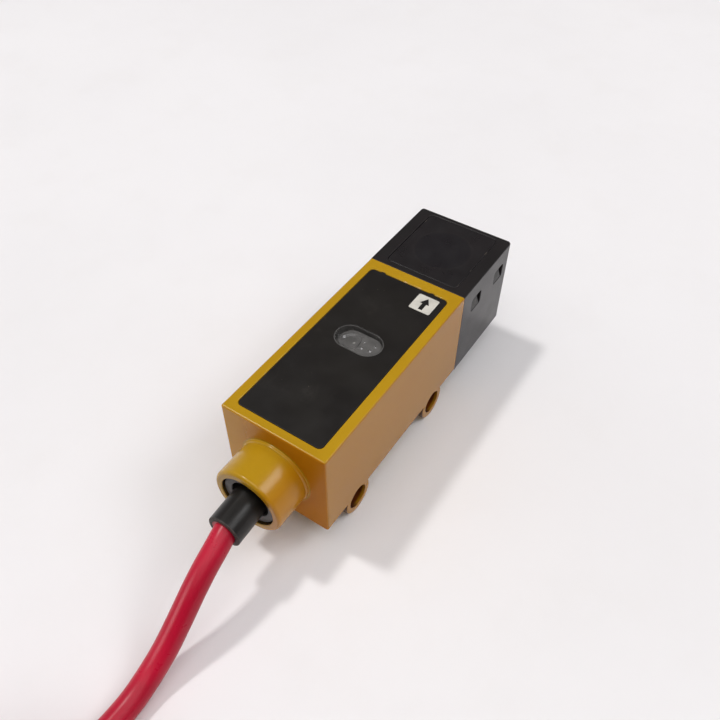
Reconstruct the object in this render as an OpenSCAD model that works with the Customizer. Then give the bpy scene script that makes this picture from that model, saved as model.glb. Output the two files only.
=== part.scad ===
// Side-view through-beam light source in a square die-cast housing, pre-wired with a folded cord.
// Origin: middle of the footprint, on the surface the two screw lugs stand on.
// +Y towards the moulded head, +X across, +Z out of the label face. Millimetres.

/* [Housing] */
// Width across the housing and head
body_w = 20; // [19.4:0.2:21]
// Length of the painted housing without the gland boss
body_len = 43; // [43:0.5:47]
// Height of the housing from its base to the label face
shell_h = 19.3; // [19.3:0.1:19.9]
// Side wall thickness
wall = 1.5; // [1.3:0.1:1.7]

/* [Head] */
// Length of the moulded head
head_len = 19.3; // [19.3:0.1:20]

/* [Cross holes] */
// Distance between the two screw holes
hole_pitch = 25.4; // [24:0.1:26]
// Diameter of the screw holes
hole_d = 4.5; // [4.2:0.1:4.8]
// Diameter of the lugs round the screw holes
lug_d = 7; // [7:0.1:7.4]

/* [Gland and cord] */
// Diameter of the gland boss
boss_d = 12.8; // [12.4:0.2:13.6]
// Length of the gland boss
boss_len = 7.3; // [7:0.1:8]
// Length of the sleeve beyond the boss
sleeve_out = 5.8; // [5:0.2:7]
// Diameter of the cord
cord_d = 3.9; // [3.7:0.1:3.9]

/* [Hidden] */
$fn = 64;

hw = body_w / 2;
total = sleeve_out + boss_len + body_len + head_len;
y_tip = -total / 2;
y_boss = y_tip + sleeve_out;
y_rear = y_boss + boss_len;
y_seam = y_rear + body_len;
y_end = y_seam + head_len;
lug_r = lug_d / 2;
z_lug = lug_r;
z_base = lug_r + 1.1;
z_top = z_base + shell_h;
z_axis = z_base + 9.65;
floor_t = 1.5;
roof_t = 1.8;
end_t = 1.8;
z_in = z_base + floor_t;
z_roof = z_top - roof_t;
y_lug1 = y_rear + 8.9;
y_lug2 = y_lug1 + hole_pitch;
cord_r = cord_d / 2;

// label recess and its oval opening
rec_d = 0.4;
z_rec = z_top - rec_d;
lab_x0 = -8.2;
lab_x1 = 7.93;
lab_y0 = y_rear + 1.75;
lab_y1 = y_rear + 40.55;
oval_y = y_rear + 23.7;
oval_r = 2.775;
oval_half = 1.775;
ear_x = [-5.75, 4.6];
ear_y = y_rear + 40;

// gland
bore_r = 5;
flange_r = 4.9;
y_bush0 = y_boss + 0.5;
y_bush1 = y_bush0 + 2.4;
y_flange1 = y_bush1 + 2;
y_seal1 = y_flange1 + 1.5;

// boards
z_board = z_axis - 0.25 - 1;
z_bt = z_board + 1;
y_b0 = y_rear + 7.1;
y_b1 = y_seam - 3.9;
y_tongue = y_seam + 3.2;
z_eb = z_in + 1.9;
z_ebt = z_eb + 1;
y_lens = y_seam + 9.65;

// window and its opening in the head
win_x = 7.45;
win_y0 = y_seam + 1.3;
win_y1 = y_seam + 18.2;
z_win = z_top - 1.3;
z_ledge = z_top - 2.4;
pock1 = y_seam + 3.7;
pock2 = y_seam + 12.9;
pock_w = 3.7;
pock_z0 = z_base + 12.8;
pock_h = 3.1;

// cord route from the sleeve tip, laid down to the surface and into the hank
route = [[0, -37.7, 14.25], [0.7, -40, 13.2], [0.92, -43, 12.0], [1.12, -46, 10.35],
  [1.3, -50, 7.45], [1.4, -54, 4.7], [1.4, -58, 2.8], [1.5, -62, 2.0], [1.2, -68, 1.95],
  [0.3, -71.5, 1.95], [-1, -74.4, 1.95], [-3.3, -77.6, 1.95]];

// hank of folded turns
hank_x = 7.5;
hank_y0 = -90;
hank_y1 = -152;
hank_ro = 17.55;
hank_ri = 9.75;
hank_h = 19.5;

function unit(v) = v / norm(v);
function along(p, i) = let (a = p[max(i - 1, 0)], b = p[min(i + 1, len(p) - 1)]) unit(b - a);
// the ring of points round one place on the route, square to the way it runs
function ring(p, i, r, n) = let (t = along(p, i), s = unit(cross(t, [0, 0, 1])), u = cross(s, t))
  [for (k = [0 : n - 1]) p[i] + r * (cos(360 * k / n) * s + sin(360 * k / n) * u)];
function flat(l) = [for (a = l) for (b = a) b];

module tube(p, r, n = 8) {
  m = len(p);
  pts = flat([for (i = [0 : m - 1]) ring(p, i, r, n)]);
  sides = flat([for (i = [0 : m - 2]) flat([for (k = [0 : n - 1]) let (a = i * n + k, b = i * n + (k + 1) % n)
    [[a, b, b + n], [a, b + n, a + n]]])]);
  polyhedron(concat(pts), concat([[for (k = [n - 1 : -1 : 0]) k]], sides, [[for (k = [0 : n - 1]) (m - 1) * n + k]]));
}

module box(x0, x1, y0, y1, z0, z1) translate([x0, y0, z0]) cube([x1 - x0, y1 - y0, z1 - z0]);
module bar_x(r, x0, x1, y, z) translate([x0, y, z]) rotate([0, 90, 0]) cylinder(r = r, h = x1 - x0);
module bar_y(r, y0, y1, x, z) translate([x, y0, z]) rotate([-90, 0, 0]) cylinder(r = r, h = y1 - y0);
module post(r, z0, z1, x, y) translate([x, y, z0]) cylinder(r = r, h = z1 - z0);
module ring_y(r0, r1, y0, y1) difference() {
  bar_y(r1, y0, y1, 0, z_axis);
  bar_y(r0, y0 - 1, y1 + 1, 0, z_axis);
}
module slab(x0, x1, y0, y1, z0, z1, r) translate([0, 0, z0]) linear_extrude(z1 - z0) hull()
  for (x = [x0 + r, x1 - r]) for (y = [y0 + r, y1 - r]) translate([x, y]) circle(r = r, $fn = 32);
module oval(r, z0, z1) {
  post(r, z0, z1, -oval_half + 0.04, oval_y);
  post(r, z0, z1, oval_half + 0.04, oval_y);
  box(-oval_half + 0.04, oval_half + 0.04, oval_y - r, oval_y + r, z0, z1);
}

// Painted die-cast housing: shell, gland boss, two cross-hole lugs, label recess, board rails
module housing() color([0.75, 0.57, 0.12]) difference() {
  union() {
    difference() {
      translate([0, y_seam, 0]) rotate([90, 0, 0]) linear_extrude(body_len) hull()
        for (x = [-hw + 0.5, hw - 0.5]) for (z = [z_base + 0.5, z_top - 0.5])
          translate([x, z]) circle(r = 0.5, $fn = 32);
      box(-hw + wall, hw - wall, y_rear + end_t, y_seam + 1, z_in, z_roof);
    }
    bar_y(boss_d / 2, y_boss, y_rear + 0.6, 0, z_axis);
    bar_y(boss_d / 2 + 0.2, y_rear - 0.5, y_rear + 0.6, 0, z_axis);
    for (y = [y_lug1, y_lug2]) bar_x(lug_r, -hw, hw, y, z_lug);
    for (s = [-1, 1]) box(s > 0 ? hw - wall - 1 : -hw + wall - 0.3, s > 0 ? hw - wall + 0.3 : -hw + wall + 1,
      y_rear + end_t - 0.3, y_b1 - 0.1, z_board - 1.5, z_board);
    oval(4.4, z_top - 3.1, z_roof + 0.3);
  }
  bar_y(bore_r, y_boss - 1, y_seal1, 0, z_axis);
  bar_y(3.2, y_seal1 - 1, y_rear + end_t + 1, 0, z_axis);
  for (y = [y_lug1, y_lug2]) bar_x(hole_d / 2, -hw - 1, hw + 1, y, z_lug);
  slab(lab_x0 - 0.1, lab_x1 + 0.1, lab_y0 - 0.1, lab_y1 + 0.1, z_rec, z_top + 1, 0.9);
  for (x = ear_x) post(0.9, z_rec, z_top + 1, x, ear_y);
  oval(3.45, z_top - 2.6, z_top + 1);
  oval(2.7, z_top - 4, z_top);
}

// Black moulded head: shell, spigot into the housing, window seat, latch pockets, board rails
module head_case() color([0.13, 0.12, 0.12]) difference() {
  union() {
    difference() {
      translate([0, 0, z_base]) linear_extrude(shell_h) hull() {
        for (x = [-hw + 0.3, hw - 0.3]) translate([x, y_seam + 0.3]) circle(r = 0.3, $fn = 32);
        translate([-hw + 0.8, y_end - 0.8]) circle(r = 0.8, $fn = 32);
        translate([hw - 1, y_end - 1]) circle(r = 1, $fn = 32);
      }
      box(-hw + 2, hw - 2, y_seam + 1.2, y_end - 1.5, z_in, z_ledge);
    }
    difference() {
      box(-hw + wall + 0.3, hw - wall - 0.3, y_seam - 3, y_seam + 0.5, z_in + 0.3, z_roof - 0.3);
      difference() {
        box(-hw, hw, y_seam - 2.2, y_seam - 1, z_base, z_top);
        box(-hw + wall + 0.6, hw - wall - 0.6, y_seam - 3, y_seam, z_in + 0.6, z_roof - 0.6);
      }
    }
    for (s = [-1, 1]) box(s > 0 ? hw - 3 : -hw + 1.7, s > 0 ? hw - 1.7 : -hw + 3,
      y_seam + 1, y_end - 1.3, z_in - 0.3, z_eb);
  }
  box(-hw + 3, hw - 3, y_seam - 4, y_seam + 1.5, z_in + 1.5, z_roof - 1.5);
  slab(-win_x, win_x, win_y0, win_y1, z_win, z_top + 1, 1);
  box(-win_x, win_x, win_y0 + 1, win_y1 - 1, z_ledge - 1, z_win + 0.5);
  for (s = [-1, 1]) for (y = [pock1, pock2]) translate([s > 0 ? hw - 3 : -hw - 1, 0, 0])
    box(0, 4, y, y + pock_w, pock_z0, pock_z0 + pock_h);
}

// One hook nib of the window: almost flush at its foot, its outer face sloping inwards to the top
module hook_face(s, y0, y1, z0, z1) translate([0, y1, 0]) rotate([90, 0, 0]) linear_extrude(y1 - y0)
  polygon(s > 0 ? [[7.1, z0], [hw - 0.07, z0], [hw - 0.88, z1], [7.1, z1]]
    : [[-hw + 0.07, z0], [-7.1, z0], [-7.1, z1], [-hw + 0.88, z1]]);

// Black infrared-pass window with four latch hooks
module window() color([0.1, 0.08, 0.1]) {
  slab(-win_x + 0.2, win_x - 0.2, win_y0 + 0.1, win_y1 - 0.1, z_win, z_top - 0.05, 0.9);
  for (s = [-1, 1]) for (y = [pock1, pock2]) {
    box(s > 0 ? 6.35 : -7.25, s > 0 ? 7.25 : -6.35, y + 0.2, y + pock_w - 1.1, pock_z0 + 0.3, z_win + 0.2);
    hook_face(s, y + 0.08, y + pock_w - 0.45, pock_z0 + 0.05, pock_z0 + pock_h - 0.08);
  }
}

// Black label plate in the recess, with two small ears and an oval collar that holds the indicator window down
module name_plate() color([0.12, 0.11, 0.1]) difference() {
  union() {
    slab(lab_x0, lab_x1, lab_y0, lab_y1, z_rec, z_top - 0.05, 0.8);
    for (x = ear_x) post(0.8, z_rec, z_top - 0.05, x, ear_y);
    oval(3.4, z_top - 1.5, z_rec + 0.1);
  }
  oval(oval_r, z_top - 2, z_top + 1);
}

// Clear indicator window: a flange on the housing's inner ledge, a thin rim up the collar and a solid insert inside it
module indicator_window() color([0.6, 0.6, 0.6, 0.5]) {
  oval(3.4, z_top - 2.6, z_top - 1.5);
  difference() {
    oval(2.75, z_top - 1.6, z_top - 0.08);
    oval(2.55, z_top - 1.5, z_top);
  }
  for (x = [-1.26, 1.98]) post(2.4, z_top - 1.6, z_top - 0.7, x, oval_y);
  box(-1.26, 1.98, oval_y - 2.4, oval_y + 2.4, z_top - 1.6, z_top - 0.7);
}

// Grey retaining ring pressed into the boss; its hole is a little off centre
module gland_bush() color([0.3, 0.28, 0.27]) difference() {
  bar_y(bore_r, y_bush0, y_bush1, 0, z_axis);
  bar_y(3.5, y_bush0 - 1, y_bush1 + 1, 0.2, z_axis + 0.35);
}

// Rubber sleeve with an inner flange behind the retaining ring
module strain_relief() color([0.07, 0.07, 0.07]) difference() {
  union() {
    bar_y(3, y_tip, y_flange1, 0, z_axis);
    bar_y(flange_r, y_bush1, y_flange1, 0, z_axis);
  }
  bar_y(cord_r + 0.2, y_tip - 1, y_tip + 3, 0, z_axis);
  bar_y(cord_r, y_tip + 2, y_flange1 + 1, 0, z_axis);
}

// Flat rubber seal behind the flange
module seal_ring() color([0.15, 0.15, 0.16]) ring_y(cord_r, 4.6, y_flange1, y_seal1);

// End of the cord held inside the gland
module cable_tail() color([0.7, 0.13, 0.22]) bar_y(cord_r, y_tip, y_rear + 4.6, 0, z_axis);

// Crimped ring that keeps the cord from being pulled out
module cable_clamp() color([0.72, 0.72, 0.74]) ring_y(cord_r, 3.6, y_rear + end_t, y_rear + end_t + 2);

// Cores soldered to the main board
module core(x) bar_y(0.55, y_rear + 4.6, y_b0 + 3, x, z_bt + 0.55);
module core_brown() color([0.35, 0.2, 0.12]) core(-1.2);
module core_blue() color([0.1, 0.25, 0.6]) core(0);
module core_pink() color([0.85, 0.5, 0.6]) core(1.2);

// Circuit board in the housing, with a tongue into the head
module main_board() color([0.1, 0.35, 0.2]) {
  box(-hw + wall + 0.2, hw - wall - 0.2, y_b0, y_b1, z_board, z_bt);
  box(-5, 5, y_b1 - 0.1, y_tongue, z_board, z_bt);
}
module driver_ic() color([0.1, 0.1, 0.1]) box(-6.6, -1.6, y_b0 + 8, y_b0 + 12.2, z_bt, z_bt + 1.6);
module transistor() color([0.12, 0.12, 0.12]) box(2.4, 6.9, y_b0 + 4.5, y_b0 + 7, z_bt, z_bt + 1.5);
module diode() color([0.12, 0.12, 0.13]) box(-6.8, -2.5, y_b0 + 4.2, y_b0 + 6.8, z_bt, z_bt + 2.2);
module capacitors() color([0.72, 0.6, 0.42]) {
  for (i = [0 : 2]) box(1 + 2 * i, 2.25 + 2 * i, y_b0 + 9, y_b0 + 11, z_bt, z_bt + 0.9);
  box(-6.5, -4.5, y_b0 + 22, y_b0 + 23.25, z_bt, z_bt + 0.9);
}
module resistors() color([0.15, 0.15, 0.17]) {
  for (i = [0 : 3]) box(-4.6 + 1.6 * i, -3.8 + 1.6 * i, y_b0 + 26, y_b0 + 27.6, z_bt, z_bt + 0.45);
  for (i = [0 : 1]) box(4 + 1.5 * i, 4.8 + 1.5 * i, y_b0 + 14, y_b0 + 15.6, z_bt, z_bt + 0.45);
}

// Red indicator lamp under the oval window
module indicator_led() color([0.8, 0.12, 0.1, 0.7]) {
  post(1.5, z_bt, z_top - 5.4, 2, oval_y - 1.2);
  translate([2, oval_y - 1.2, z_top - 5.4]) intersection() {
    sphere(r = 1.5);
    translate([-2, -2, -0.5]) cube([4, 4, 3]);
  }
}

// Pins between the two boards
module board_pins() color([0.75, 0.65, 0.35]) for (x = [-3.81, -1.27, 1.27, 3.81])
  post(0.32, z_ebt, z_board, x, y_seam + 2.3);

// Square seal in the spigot's groove
module head_gasket() color([0.1, 0.1, 0.1]) difference() {
  box(-hw + wall, hw - wall, y_seam - 2.2, y_seam - 1, z_in, z_roof);
  box(-hw + wall + 0.6, hw - wall - 0.6, y_seam - 3, y_seam, z_in + 0.6, z_roof - 0.6);
}

module emitter_board() color([0.1, 0.35, 0.2]) box(-hw + 2.2, hw - 2.2, y_seam + 1.5, y_end - 1.8, z_eb, z_ebt);

// Infrared emitter facing the lens
module emitter_led() color([0.25, 0.25, 0.35]) {
  post(2.9, z_ebt, z_ebt + 1, 0.05, y_lens);
  post(2.5, z_ebt + 0.9, z_ebt + 3.6, 0.05, y_lens);
  translate([0.05, y_lens, z_ebt + 3.6]) intersection() {
    sphere(r = 2.5);
    translate([-3, -3, -0.5]) cube([6, 6, 4]);
  }
}

// Barrel that stands on the emitter board and carries the lens
module lens_holder() color([0.14, 0.14, 0.15]) difference() {
  post(6.1, z_ebt, z_top - 2.5, 0.05, y_lens);
  post(4.6, z_ebt - 1, z_top, 0.05, y_lens);
  post(5.45, z_top - 4.9, z_top, 0.05, y_lens);
}

// Plano-convex lens
module lens() color([0.75, 0.75, 0.8, 0.5]) {
  post(5.4, z_top - 4.9, z_top - 3.7, 0.05, y_lens);
  translate([0.05, y_lens, z_top - 3.8]) intersection() {
    translate([0, 0, -5.89]) sphere(r = 7.99);
    post(5.4, 0, 3, 0, 0);
  }
}

// Free cord from the sleeve down to the hank
module cable() color([0.7, 0.13, 0.22]) translate([0, y_tip + 37.7, 0]) tube(route, cord_r);

// Outer shape of the folded turns, with a step where the stripped leads lie
module cable_hank() color([0.7, 0.13, 0.22]) difference() {
  linear_extrude(hank_h) difference() {
    union() {
      for (y = [hank_y0, hank_y1]) translate([hank_x, y]) circle(r = hank_ro);
      translate([hank_x - hank_ro, hank_y1]) square([2 * hank_ro, hank_y0 - hank_y1]);
    }
    for (y = [hank_y0, hank_y1]) translate([hank_x, y]) circle(r = hank_ri);
    translate([hank_x - hank_ri, hank_y1]) square([2 * hank_ri, hank_y0 - hank_y1]);
  }
  box(-6.15, -2, -131, -94, 15.6, 21);
  for (q = [[-11, -148], [16, -114]]) box(q[0], q[0] + 11, q[1], q[1] + 2.4, -1, 0.5);
}

// Ties round the two runs of the hank
module tie(x0, x1, y) difference() {
  box(x0 - 0.5, x1 + 0.5, y, y + 2.4, 0, 20);
  box(x0, x1, y - 1, y + 4, 0.5, hank_h);
}
module hank_ties() color([0.08, 0.08, 0.08]) {
  tie(hank_x - hank_ro, hank_x - hank_ri, -148);
  tie(hank_x + hank_ri, hank_x + hank_ro, -114);
}

// Stripped leads lying in the hank's step
module lead_brown() color([0.35, 0.2, 0.12]) bar_y(0.55, -124, -94, -5.4, 16.15);
module lead_blue() color([0.1, 0.25, 0.6]) bar_y(0.55, -124, -94, -4.2, 16.15);
module lead_pink() color([0.85, 0.5, 0.6]) bar_y(0.55, -124, -94, -3, 16.15);
module lead_tips() color([0.75, 0.73, 0.7]) for (x = [-5.4, -4.2, -3]) bar_y(0.35, -130, -124, x, 16.15);

housing();
head_case();
window();
name_plate();
indicator_window();
gland_bush();
strain_relief();
seal_ring();
cable_tail();
cable_clamp();
core_brown();
core_blue();
core_pink();
main_board();
driver_ic();
transistor();
diode();
capacitors();
resistors();
indicator_led();
board_pins();
head_gasket();
emitter_board();
emitter_led();
lens_holder();
lens();
cable();
cable_hank();
hank_ties();
lead_brown();
lead_blue();
lead_pink();
lead_tips();
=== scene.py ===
import math
import random

import bmesh
import bpy
from mathutils import Matrix, Vector


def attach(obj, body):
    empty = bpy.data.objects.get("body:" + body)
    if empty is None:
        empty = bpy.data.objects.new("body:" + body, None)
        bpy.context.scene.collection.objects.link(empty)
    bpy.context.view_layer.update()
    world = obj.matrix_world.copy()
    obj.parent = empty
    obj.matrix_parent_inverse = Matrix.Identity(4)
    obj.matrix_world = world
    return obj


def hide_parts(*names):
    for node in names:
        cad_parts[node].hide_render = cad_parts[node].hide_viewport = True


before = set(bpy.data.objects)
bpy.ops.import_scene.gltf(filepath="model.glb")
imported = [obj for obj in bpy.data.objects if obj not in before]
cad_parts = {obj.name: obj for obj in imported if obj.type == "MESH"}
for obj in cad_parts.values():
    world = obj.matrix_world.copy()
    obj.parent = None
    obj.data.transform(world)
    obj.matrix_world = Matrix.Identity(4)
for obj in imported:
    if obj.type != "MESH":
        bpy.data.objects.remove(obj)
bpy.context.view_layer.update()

scene = bpy.context.scene

# ------------------------------------------------------------------ places, in millimetres, as in the CAD
Y_TIP, Y_BOSS, Y_REAR, Y_SEAM, Y_END = -37.7, -31.9, -24.6, 18.4, 37.7
Z_BASE, Z_TOP, Z_AXIS = 4.6, 23.9, 14.25
HW = 10.0
Z_REC = Z_TOP - 0.4
OVAL_X, OVAL_Y, OVAL_HALF = 0.04, Y_REAR + 23.7, 1.775
LUG_Y = (Y_REAR + 8.9, Y_REAR + 34.3)
LUG_R, HOLE_R = 3.5, 2.25
EARS = (-5.75, 4.6)
LENS = (0.05, Y_SEAM + 9.65)
ROUTE = [(0, -37.7, 14.25), (0.7, -40, 13.2), (0.92, -43, 12.0), (1.12, -46, 10.35),
         (1.3, -50, 7.45), (1.4, -54, 4.7), (1.4, -58, 2.8), (1.5, -62, 2.0), (1.2, -68, 1.95),
         (0.3, -71.5, 1.95), (-1, -74.4, 1.95), (-3.3, -77.6, 1.95)]
CORD_R = 1.95
HANK_X, HANK_Y0, HANK_Y1 = 7.5, -90.0, -152.0
TIES = ((-1, -146.8), (1, -112.8))


# ------------------------------------------------------------------ modelling kit, in millimetres
def mesh(name, verts, faces):
    me = bpy.data.meshes.new(name)
    me.from_pydata([tuple(v) for v in verts], [], faces)
    o = bpy.data.objects.new(name, me)
    scene.collection.objects.link(o)
    tidy(o)
    return o


def tidy(o, dist=1e-4):
    bm = bmesh.new()
    bm.from_mesh(o.data)
    bmesh.ops.remove_doubles(bm, verts=bm.verts, dist=dist)
    bmesh.ops.dissolve_degenerate(bm, edges=bm.edges, dist=dist)
    bmesh.ops.recalc_face_normals(bm, faces=bm.faces)
    bm.to_mesh(o.data)
    bm.free()
    o.data.update()


def rrect(x0, x1, y0, y1, r, n=8):
    """Outline of a rectangle with round corners, anticlockwise from the top right one. r may be four radii."""
    rs = r if isinstance(r, (list, tuple)) else [r] * 4
    pts = []
    for (sx, sy, a0), rr in zip(((1, 1, 0), (-1, 1, 90), (-1, -1, 180), (1, -1, 270)), rs):
        rr = max(rr, 0.01)
        cx = x1 - rr if sx > 0 else x0 + rr
        cy = y1 - rr if sy > 0 else y0 + rr
        for k in range(n + 1):
            a = math.radians(a0 + 90 * k / n)
            pts.append((cx + rr * math.cos(a), cy + rr * math.sin(a)))
    return pts


def rect_out(x0, x1, y0, y1, r, n=8):
    rs = r if isinstance(r, (list, tuple)) else [r] * 4
    return lambda d: rrect(x0 + d, x1 - d, y0 + d, y1 - d, [q - d for q in rs], n)


def oval_out(r, half=OVAL_HALF, cx=OVAL_X, cy=OVAL_Y, n=24):
    def out(d):
        pts = []
        for s, a0 in ((1, -90), (-1, 90)):
            for k in range(n + 1):
                a = math.radians(a0 + 180 * k / n)
                pts.append((cx + s * half + (r - d) * math.cos(a), cy + (r - d) * math.sin(a)))
        return pts
    return out


def loft(name, rings, closed=False):
    n, m = len(rings[0]), len(rings)
    faces = []
    for i in range(m if closed else m - 1):
        j = (i + 1) % m
        for k in range(n):
            q = (k + 1) % n
            faces.append((i * n + k, i * n + q, j * n + q, j * n + k))
    if not closed:
        faces.append(tuple(range(n)))
        faces.append(tuple((m - 1) * n + k for k in range(n)))
    return mesh(name, [p for r in rings for p in r], faces)


def to_z(u, v, h): return (u, v, h)
def to_y(u, v, h): return (u, h, v)
def to_x(u, v, h): return (h, u, v)


def slab(name, out, h0, h1, e0=0.0, e1=0.0, to=to_z, n=5):
    """A prism with rounded rims: out(d) is its outline drawn in by d, and e0 and e1 are the rim radii."""
    rings = []
    if e0 > 0:
        for k in range(n + 1):
            a = math.radians(90 - 90 * k / n)
            rings.append((e0 * (1 - math.cos(a)), h0 + e0 * (1 - math.sin(a))))
    else:
        rings.append((0, h0))
    if e1 > 0:
        for k in range(n + 1):
            a = math.radians(90 * k / n)
            rings.append((e1 * (1 - math.cos(a)), h1 - e1 * (1 - math.sin(a))))
    else:
        rings.append((0, h1))
    return loft(name, [[to(u, v, h) for u, v in out(d)] for d, h in rings])


def flared(name, out, h0, h1, e, to=to_z, n=4, over=1.0, foot=0.0):
    """A cutter whose mouth at h1 flares out with radius e, so that the opening's rim is rounded."""
    s = 1 if h1 > h0 else -1
    rings = [(0, h0)] if foot <= 0 else [(foot * (1 - math.cos(math.radians(a))), h0 + s * foot * (1 - math.sin(math.radians(a)))) for a in (90, 60, 30, 0)]
    for k in range(n + 1):
        a = math.radians(90 * k / n)
        rings.append((-e * (1 - math.cos(a)), h1 - s * e * (1 - math.sin(a))))
    rings.append((-e, h1 + s * over))
    return loft(name, [[to(u, v, h) for u, v in out(d)] for d, h in rings])


def block(name, x0, x1, y0, y1, z0, z1, e=0.0):
    return slab(name, rect_out(x0, x1, y0, y1, e if e else 0.0, 4 if e else 1), z0, z1, e, e, n=3)


def arc(cx, cy, r, a0, a1, n=6):
    return [(cx + r * math.cos(math.radians(a0 + (a1 - a0) * k / n)), cy + r * math.sin(math.radians(a0 + (a1 - a0) * k / n))) for k in range(n + 1)]


def lathe(name, prof, axis="Y", at=(0, 0, 0), n=96, closed=False, jitter=None):
    """Turns a profile of (radius, height along the axis) points. closed makes a ring with a bore."""
    rings = []
    for r, h in prof:
        if r < 1e-6:
            continue
        ring = []
        for k in range(n):
            a = 2 * math.pi * k / n
            rr = r + (jitter(a, r, h) if jitter else 0)
            c, s = rr * math.cos(a), rr * math.sin(a)
            p = {"Y": (c, h, s), "X": (h, c, s), "Z": (c, s, h)}[axis]
            ring.append((p[0] + at[0], p[1] + at[1], p[2] + at[2]))
        rings.append(ring)
    return loft(name, rings, closed)


def pin_cutter(name, r, h0, h1, axis, at, flare=0.15, ends=(True, True), n=96):
    prof = []
    if ends[0]:
        prof += [(r + flare, h0 - 1)] + [(r + flare * (1 - math.cos(math.radians(a))), h0 + flare * (1 - math.sin(math.radians(a)))) for a in (90, 60, 30, 0)]
    else:
        prof += [(r, h0)]
    if ends[1]:
        prof += [(r + flare * (1 - math.cos(math.radians(a))), h1 - flare * (1 - math.sin(math.radians(a)))) for a in (0, 30, 60, 90)] + [(r + flare, h1 + 1)]
    else:
        prof += [(r, h1)]
    return lathe(name, prof, axis, at, n)


def baked(o):
    dg = bpy.context.evaluated_depsgraph_get()
    me = bpy.data.meshes.new_from_object(o.evaluated_get(dg), preserve_all_data_layers=True, depsgraph=dg)
    old = o.data
    o.modifiers.clear()
    o.data = me
    bpy.data.meshes.remove(old)


def joined(a, b, how):
    m = a.modifiers.new("b", "BOOLEAN")
    m.operation, m.object, m.solver = how, b, "EXACT"
    baked(a)
    bpy.data.objects.remove(b)


def cut(a, *bs):
    for b in bs:
        joined(a, b, "DIFFERENCE")
    return a


def add(a, *bs):
    for b in bs:
        joined(a, b, "UNION")
    return a


def merge(a, *bs):
    """Puts separate closed shells into one piece, keeping each one's materials."""
    bm = bmesh.new()
    slots = []
    for o in (a, *bs):
        start = len(bm.faces)
        bm.from_mesh(o.data)
        bm.faces.ensure_lookup_table()
        mats = list(o.data.materials) or [None]
        for f in bm.faces[start:]:
            mat = mats[min(f.material_index, len(mats) - 1)]
            if mat not in slots:
                slots.append(mat)
            f.material_index = slots.index(mat)
    a.data.materials.clear()
    for s in slots:
        a.data.materials.append(s)
    bm.to_mesh(a.data)
    bm.free()
    for b in bs:
        bpy.data.objects.remove(b)
    a.data.update()
    return a


def piece(o, mat, slot, *nodes, angle=32, weighted=True):
    """Finishes a piece: metres, smooth shading with kept hard edges, material, body and the CAD nodes it stands for."""
    tidy(o, 2e-4)
    o.data.transform(Matrix.Scale(0.001, 4))
    o.data.update()
    o.data.shade_smooth()
    o.data.set_sharp_from_angle(angle=math.radians(angle))
    if weighted:
        w = o.modifiers.new("w", "WEIGHTED_NORMAL")
        w.keep_sharp, w.weight, w.mode = True, 100, "FACE_AREA"
        baked(o)
    if mat is not None:
        o.data.materials.clear()
        o.data.materials.append(mat)
    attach(o, "root")
    if nodes:
        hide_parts(*nodes)
    return o


def smooth_path(pts, step):
    """Even points along a centripetal curve through pts."""
    p = [Vector(q) for q in pts]
    p = [p[0] * 2 - p[1]] + p + [p[-1] * 2 - p[-2]]
    fine = []
    for i in range(1, len(p) - 2):
        a, b, c, d = p[i - 1:i + 3]
        t = [0.0]
        for u, v in ((a, b), (b, c), (c, d)):
            t.append(t[-1] + max((v - u).length, 1e-6) ** 0.5)
        for k in range(24):
            s = t[1] + (t[2] - t[1]) * k / 24
            q1 = a * ((t[1] - s) / (t[1] - t[0])) + b * ((s - t[0]) / (t[1] - t[0]))
            q2 = b * ((t[2] - s) / (t[2] - t[1])) + c * ((s - t[1]) / (t[2] - t[1]))
            q3 = c * ((t[3] - s) / (t[3] - t[2])) + d * ((s - t[2]) / (t[3] - t[2]))
            r1 = q1 * ((t[2] - s) / (t[2] - t[0])) + q2 * ((s - t[0]) / (t[2] - t[0]))
            r2 = q2 * ((t[3] - s) / (t[3] - t[1])) + q3 * ((s - t[1]) / (t[3] - t[1]))
            fine.append(r1 * ((t[2] - s) / (t[2] - t[1])) + r2 * ((s - t[1]) / (t[2] - t[1])))
    fine.append(p[-2])
    return even(fine, step)


def even(fine, step):
    total = sum((b - a).length for a, b in zip(fine, fine[1:]))
    n = max(2, round(total / step))
    out, i, run = [fine[0].copy()], 0, 0.0
    for k in range(1, n):
        want = total * k / n
        while i < len(fine) - 2 and run + (fine[i + 1] - fine[i]).length < want:
            run += (fine[i + 1] - fine[i]).length
            i += 1
        seg = (fine[i + 1] - fine[i]).length
        out.append(fine[i].lerp(fine[i + 1], (want - run) / max(seg, 1e-9)))
    out.append(fine[-1].copy())
    return out


def sweep(name, path, r, n=24, radius=None, twist=0.0, flat=None):
    """A round tube along a path, or with flat=(width, height) a rounded strip."""
    rings, up = [], Vector((0, 0, 1))
    for i, p in enumerate(path):
        t = (path[min(i + 1, len(path) - 1)] - path[max(i - 1, 0)]).normalized()
        if i == 0:
            side = t.cross(up).normalized() if abs(t.dot(up)) < 0.98 else Vector((1, 0, 0))
        side = (side - t * side.dot(t)).normalized()
        other = side.cross(t)
        rr = radius(i / (len(path) - 1)) if radius else r
        ring = []
        for k in range(n):
            a = 2 * math.pi * k / n + twist * i
            c, s = math.cos(a), math.sin(a)
            if flat:
                c = math.copysign(abs(c) ** 0.35, c) * flat[0] / 2
                s = math.copysign(abs(s) ** 0.35, s) * flat[1] / 2
                ring.append(tuple(p + side * c + other * s))
            else:
                ring.append(tuple(p + (side * c + other * s) * rr))
        rings.append(ring)
    return loft(name, rings)


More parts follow.
